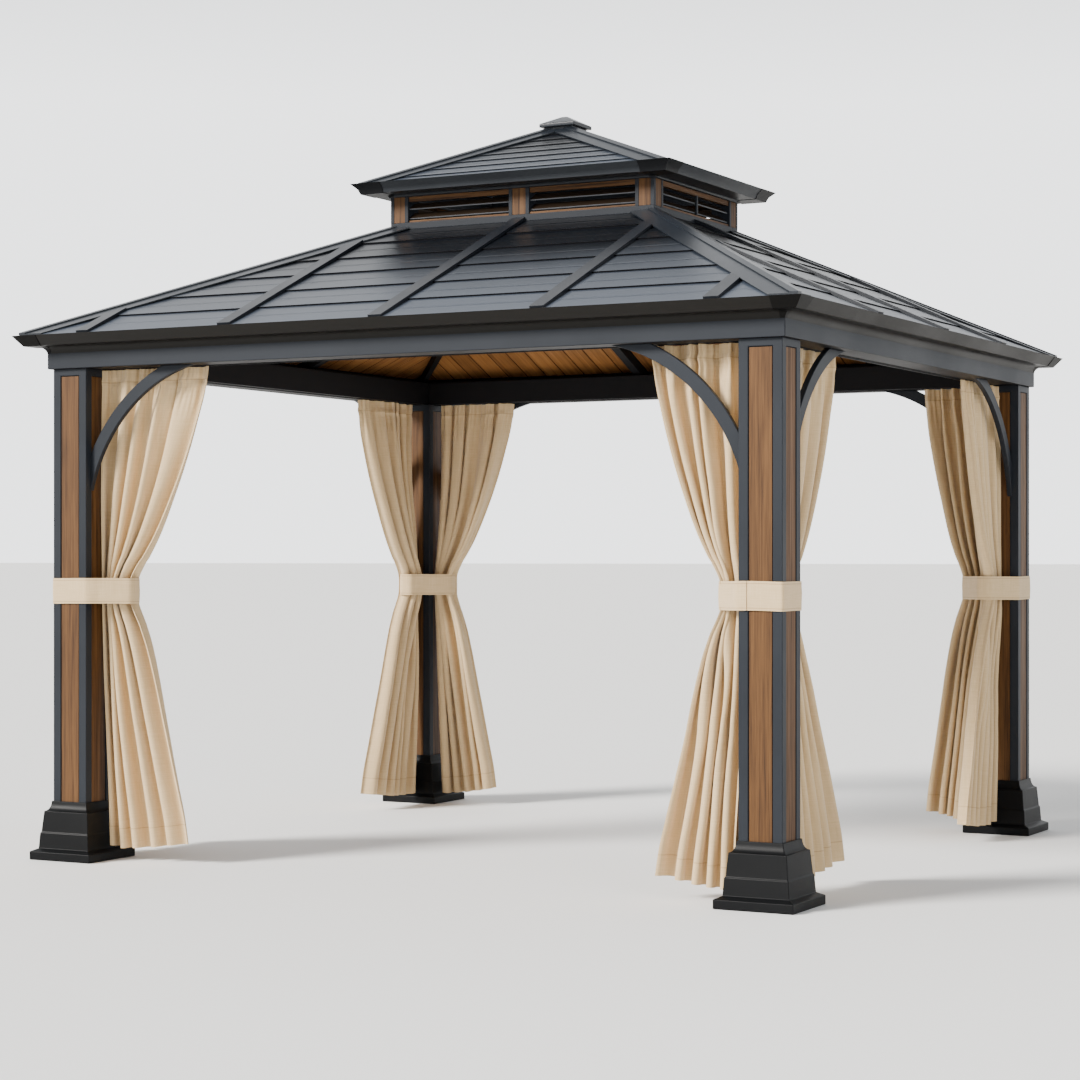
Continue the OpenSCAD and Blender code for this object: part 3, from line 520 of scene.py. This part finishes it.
def curve(x, table):
    return np.interp(x, table[:, 0], table[:, 1])


def smooth_step(x, low, high):
    t = np.clip((x - low) / (high - low), 0.0, 1.0)
    return t * t * (3 - 2 * t)


# 1 at one height, falling away above and below it
def peak(z, middle, width):
    return math.exp(-((z - middle) / width) ** 2)


# Reach of a curtain from its post at one height
def reach_at(z, top, tie, foot):
    if z >= TIE_HIGH:
        return tie + (top - tie) * curve((z - TIE_HIGH) / (CURTAIN_TOP - TIE_HIGH), UPPER)
    if z <= TIE_LOW:
        return tie + (foot - tie) * curve((TIE_LOW - z) / (TIE_LOW - CURTAIN_HEM), LOWER)
    return tie


# Irregular folds: each has its own width and its own bend, and both change from the track to the hem
class Folds:
    def __init__(self, seed, count, spread, uneven):
        pick = np.random.RandomState(seed)
        self.seed, self.count = seed, count
        self.top, self.hem = (self.rows(pick, spread) for _ in range(2))
        self.bend_top, self.bend_hem = (1 + uneven * (2 * pick.rand(count) - 1) for _ in range(2))

    def rows(self, pick, spread):
        widths = 1 + spread * (2 * pick.rand(self.count) - 1)
        return np.concatenate([[0], np.cumsum(widths)]) / widths.sum()

    # Turn of the cloth along one row, one wave for each fold
    def turn(self, s, z, low):
        edges = self.top * (1 - low) + self.hem * low
        most = 0.10 / self.count
        sway = [most * noise.noise((k * 3.7 + self.seed, z * 0.9, 0.4)) for k in range(self.count + 1)]
        edges = edges + np.array(sway) * np.minimum(1, 4 * edges * (1 - edges))
        bends = self.bend_top * (1 - low) + self.bend_hem * low
        odd = [1 + 0.15 * noise.noise((k * 5.1 + self.seed, z * 1.1, 2.6)) for k in range(self.count)]
        bends = bends * odd
        wave = np.sin(2 * math.pi * np.interp(s, edges, np.arange(self.count + 1)))
        return wave * np.interp(s, (edges[1:] + edges[:-1]) / 2, bends)


# One row of cloth of a fixed length, bent until it spans a width: places across and out of the plane
def lay_row(turn, tuck, flat, width):
    step = flat / len(turn)
    less, more = 0.0, 4.0
    for _ in range(28):
        bend = (less + more) / 2
        angle = np.clip(bend * turn, -MOST_TURN, MOST_TURN) + tuck
        less, more = (bend, more) if np.cos(angle).sum() * step > width else (less, bend)
    across = np.concatenate([[0], np.cumsum(np.cos(angle))]) * step
    out = np.concatenate([[0], np.cumsum(np.sin(angle))]) * step
    out = out - np.linspace(0, out[-1], len(out))
    return across * width / across[-1], out - (out.max() + out.min()) / 2


# Cloth of constant width at every height, gathered at the track and at the tie
def curtain_grid(seed, flat, count, start, top, tie, foot):
    s = np.linspace(0, 1, COLUMNS + 1)
    middle = (s[1:] + s[:-1]) / 2
    folds = Folds(seed, count, spread=0.26, uneven=0.12)
    pleats = Folds(seed + 40, 2 * count - 1, spread=0.40, uneven=0.45)
    tucks = Folds(seed + 80, TUCKS, spread=0.40, uneven=0.40)
    lines = np.array([reach_at(z, top, tie, foot) for z in ROWS])
    for _ in range(4):
        lines[1:-1] = (lines[:-2] + 2 * lines[1:-1] + lines[2:]) / 4
    wavy = np.array([noise.noise((a * 14.0, seed * 2.3, 0.5)) for a in s])
    grid = []
    for z, u1 in zip(ROWS, lines):
        u0 = curve(z, START) + start * float(smooth_step(z, 1.20, 1.75))
        low = float(1 - smooth_step(z, 0.10, 1.25))
        near_tie = peak(z, TIE_MIDDLE, 0.13)
        heading = float(smooth_step(z, 1.84, 2.03))
        pinch = peak(z, GATHER_Z, 0.012)
        tuck = (0.80 * heading - 0.30 * pinch + 0.25 * near_tie) * tucks.turn(middle, z, low)
        pleat = curve(z, PLEATS) * pleats.turn(middle, z, low)
        width = u1 - u0 - TIE_EASE * near_tie
        across, out = lay_row(folds.turn(middle, z, low), tuck + pleat, flat, width)
        hem = (1 - smooth_step(z, CURTAIN_HEM, 0.55)) * curve(s, HEM_RISE)
        ruffle = 0.005 * smooth_step(z, 2.04, CURTAIN_TOP) * wavy
        grid.append(np.stack([u0 + across, out, z + hem - np.abs(ruffle)], axis=1))
    return np.array(grid), s


# Mesh of a sheet from its rows of points, with the flat cloth as its UV map
def sheet_mesh(name, grid, flat_u, flat_v):
    rows, columns = grid.shape[:2]
    faces, uvs = [], []
    for j in range(rows - 1):
        for k in range(columns - 1):
            corners = ((j, k), (j, k + 1), (j + 1, k + 1), (j + 1, k))
            faces.append([row * columns + column for row, column in corners])
            uvs += [(flat_u[column], flat_v[row]) for row, column in corners]
    mesh = bpy.data.meshes.new(name)
    mesh.from_pydata([tuple(p) for p in grid.reshape(-1, 3)], [], faces)
    layer = mesh.uv_layers.new(name="cloth")
    layer.data.foreach_set("uv", np.array(uvs, np.float32).ravel())
    piece = bpy.data.objects.new(name, mesh)
    bpy.context.scene.collection.objects.link(piece)
    return piece


def thicken(piece, thickness):
    only(piece)
    wall = piece.modifiers.new("thickness", "SOLIDIFY")
    wall.thickness, wall.offset = thickness, 0
    bpy.ops.object.modifier_apply(modifier="thickness")
    bpy.ops.object.mode_set(mode="EDIT")
    face_outwards()
    bpy.ops.object.mode_set(mode="OBJECT")
    bpy.ops.object.shade_smooth_by_angle(angle=math.radians(60))


def corner_signs(corner):
    return (1 if "right" in corner else -1), (1 if "back" in corner else -1)


# Half-curtain beside one post, along the front or back or along a side
def hang_curtain(name, corner, runs_along_x, seed, start, top, tie, foot):
    flat, count = CUT_X if runs_along_x else CUT_Y
    grid, s = curtain_grid(seed, flat, count, start, top, tie, foot)
    sx, sy = corner_signs(corner)
    u, w, z = grid[..., 0], grid[..., 1], grid[..., 2]
    if runs_along_x:
        x = sx * (POST_X - POST_W / 2 - u)
        y = sy * (POST_Y - TRACK_IN - w)
    else:
        x = sx * (POST_X - TRACK_IN - w)
        y = sy * (POST_Y - POST_W / 2 - u)
    piece = sheet_mesh(name, np.stack([x, y, z], axis=-1), s * flat, ROWS)
    thicken(piece, CLOTH_T)
    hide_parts(name.replace("cloth", "curtain"))
    dress(piece, curtain_cloth)
    return piece


def convex_hull(points):
    points = sorted(set((round(float(a), 6), round(float(b), 6)) for a, b in points))

    def half(run):
        chain = []
        for p in run:
            while len(chain) > 1 and ((chain[-1][0] - chain[-2][0]) * (p[1] - chain[-2][1])
                                      - (chain[-1][1] - chain[-2][1]) * (p[0] - chain[-2][0])) <= 0:
                chain.pop()
            chain.append(p)
        return chain[:-1]
    return half(points) + half(points[::-1])


# Tie-back band: a cloth strap round the post and its two gathered curtains, its end lapped over its start
STRAP_STEPS, STRAP_ROWS, STRAP_PLAY = 240, 15, 0.0006
BUNDLE_STEPS, BUNDLE_DEPTH, BUNDLE_ROUND = 48, 0.0430, 0.55
LAP, LAP_LIFT, LAP_FROM, LAP_FULL = 0.045, 0.0032, 0.050, 0.006
SEAM_IN = 0.010


# Closed line round the post and both bundles, starting at the seam, and its length
def strap_line(tie_x, tie_y):
    half = POST_W / 2 + STRAP_PLAY
    rim = [(half, half), (-half, half), (-half, -half), (half, -half)]
    for t in np.linspace(0, 2 * math.pi, BUNDLE_STEPS, endpoint=False):
        a, b = (math.copysign(abs(c) ** BUNDLE_ROUND, c) for c in (math.cos(t), math.sin(t)))
        rim += [(-POST_W / 2 - tie_x / 2 * (1 - a), TRACK_IN + BUNDLE_DEPTH * b),
                (-TRACK_IN + BUNDLE_DEPTH * b, POST_W / 2 + tie_y / 2 * (1 + a))]
    hull = np.array(convex_hull(rim))
    step = np.linalg.norm(np.diff(np.vstack([hull, hull[:1]]), axis=0), axis=1)
    run = np.concatenate([[0], np.cumsum(step)])
    at = np.linspace(0, run[-1], STRAP_STEPS, endpoint=False)
    loop = np.stack([np.interp(at, run, np.append(hull[:, c], hull[0, c])) for c in (0, 1)], axis=1)
    for _ in range(3):
        loop = (np.roll(loop, 1, axis=0) + 2 * loop + np.roll(loop, -1, axis=0)) / 4
    seam = int(np.argmin(np.hypot(loop[:, 0] + POST_W / 2 + SEAM_IN, loop[:, 1] + POST_W / 2)))
    return np.roll(loop, -seam, axis=0), run[-1]


def tie_back(corner, seed, tie_x, tie_y):
    loop, total = strap_line(tie_x, tie_y)
    along = np.roll(loop, -1, axis=0) - np.roll(loop, 1, axis=0)
    normal = np.stack([along[:, 1], -along[:, 0]], axis=1) / np.linalg.norm(along, axis=1)[:, None]
    steps = STRAP_STEPS + int(round(LAP / total * STRAP_STEPS))
    order = np.arange(steps) % STRAP_STEPS
    length = np.arange(steps) * total / STRAP_STEPS
    lapped = LAP_LIFT * smooth_step(length, total - LAP_FROM, total - LAP_FULL)
    dip = np.array([0.003 * noise.noise((p[0] * 6, p[1] * 6, seed * 2.0)) for p in loop])
    levels = np.linspace(0, 1, STRAP_ROWS)
    heights = TIE_LOW + (TIE_HIGH - TIE_LOW) * levels
    grid = []
    for v, z in zip(levels, heights):
        crown = 0.0028 + 0.0012 * (1 - (2 * v - 1) ** 2)
        ripple = np.array([0.0010 * noise.noise((p[0] * 22, p[1] * 22, v * 2.5 + seed)) for p in loop])
        spot = loop[order] + normal[order] * (crown + ripple[order] + lapped)[:, None]
        grid.append(np.stack([spot[:, 0], spot[:, 1], z + dip[order]], axis=1))
    grid = np.array(grid)
    sx, sy = corner_signs(corner)
    x = sx * (POST_X + grid[..., 0])
    y = -sy * (-POST_Y + grid[..., 1])
    piece = sheet_mesh("tie_" + corner, np.stack([x, y, grid[..., 2]], axis=-1), length, heights)
    thicken(piece, BAND_T)
    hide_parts("tiebacks")
    dress(piece, curtain_cloth)
    return piece


# Start off the post and reach at the track, tie and hem: first along the front or back, then along the side
DRAWN = {"front_right": ((0.0, 0.395, 0.118, 0.380), (0.0, 0.610, 0.150, 0.690)),
         "front_left": ((0.0, 0.560, 0.172, 0.460), (0.0, 0.500, 0.150, 0.520)),
         "back_left": ((0.015, 0.460, 0.118, 0.350), (0.06, 0.570, 0.150, 0.540)),
         "back_right": ((0.0, 0.300, 0.105, 0.285), (0.0, 0.500, 0.150, 0.500))}


def hang_curtains():
    for number, corner in enumerate(CORNERS):
        front_back, left_right = corner.split("_")
        along_x, along_y = DRAWN[corner]
        hang_curtain(f"cloth_{front_back}_{left_right}", corner, True, 1 + number, *along_x)
        hang_curtain(f"cloth_{left_right}_{front_back}", corner, False, 5 + number, *along_y)
        tie_back(corner, 1 + number, along_x[2], along_y[2])


# Brightness of the studio's sky from the horizon to the top
SKY = ((0.18, 1.0), (0.29, 0.5), (0.56, 0.64), (0.72, 0.40), (1.0, 0.18))
SKY_STRENGTH = 2.8
KEY_AT, SOFT_AT, LIT_AT = (-6.5, -9.0, 7.5), (10.5, -7.0, 3.0), (0, 0, 1.2)


def make_floor():
    bpy.ops.object.select_all(action="DESELECT")
    bpy.ops.mesh.primitive_plane_add(size=900, location=(0, 0, -0.001))
    floor = bpy.context.object
    floor.name = "floor"
    made, _, shader = start_material("floor_paint", 0.8, 0.2)
    shader.inputs["Base Color"].default_value = (0.90, 0.90, 0.89, 1)
    floor.data.materials.append(made)


def make_sky():
    world = bpy.data.worlds.new("studio")
    world.use_nodes = True
    tree = world.node_tree
    sky = tree.nodes["Background"]
    sky.inputs["Color"].default_value = (0.97, 0.985, 1.0, 1)
    way = axes(tree, "Generated")
    rising = ramp(tree, way["Z"], [(at, (v, v, v)) for at, v in SKY])
    behind = grey_ramp(tree, way["Y"], low=0.50, high=1.0, start=-0.5, end=0.4)
    sideways = grey_ramp(tree, way["X"], low=1.0, high=0.5, start=-0.25, end=0.5)
    level = maths(tree, "MULTIPLY", maths(tree, "MULTIPLY", rising, SKY_STRENGTH), behind)
    tree.links.new(maths(tree, "MULTIPLY", level, sideways), sky.inputs["Strength"])
    bpy.context.scene.world = world


def make_lamps():
    key = bpy.data.lights.new("key", "SUN")
    key.energy, key.angle, key.color = 8.4, math.radians(20), (1.0, 0.97, 0.93)
    soft = bpy.data.lights.new("soft", "AREA")
    soft.shape, soft.size, soft.energy, soft.color = "DISK", 6.0, 520, (0.97, 0.98, 1.0)
    for data, place in ((key, KEY_AT), (soft, SOFT_AT)):
        lamp = bpy.data.objects.new(data.name, data)
        bpy.context.scene.collection.objects.link(lamp)
        lamp.location = place
        lamp.rotation_euler = (Vector(LIT_AT) - Vector(place)).to_track_quat("-Z", "Y").to_euler()


make_camera()
finish_metal()
frieze_frame()
for index in range(4):
    ceiling_boards(index)
hang_curtains()
make_floor()
make_sky()
make_lamps()
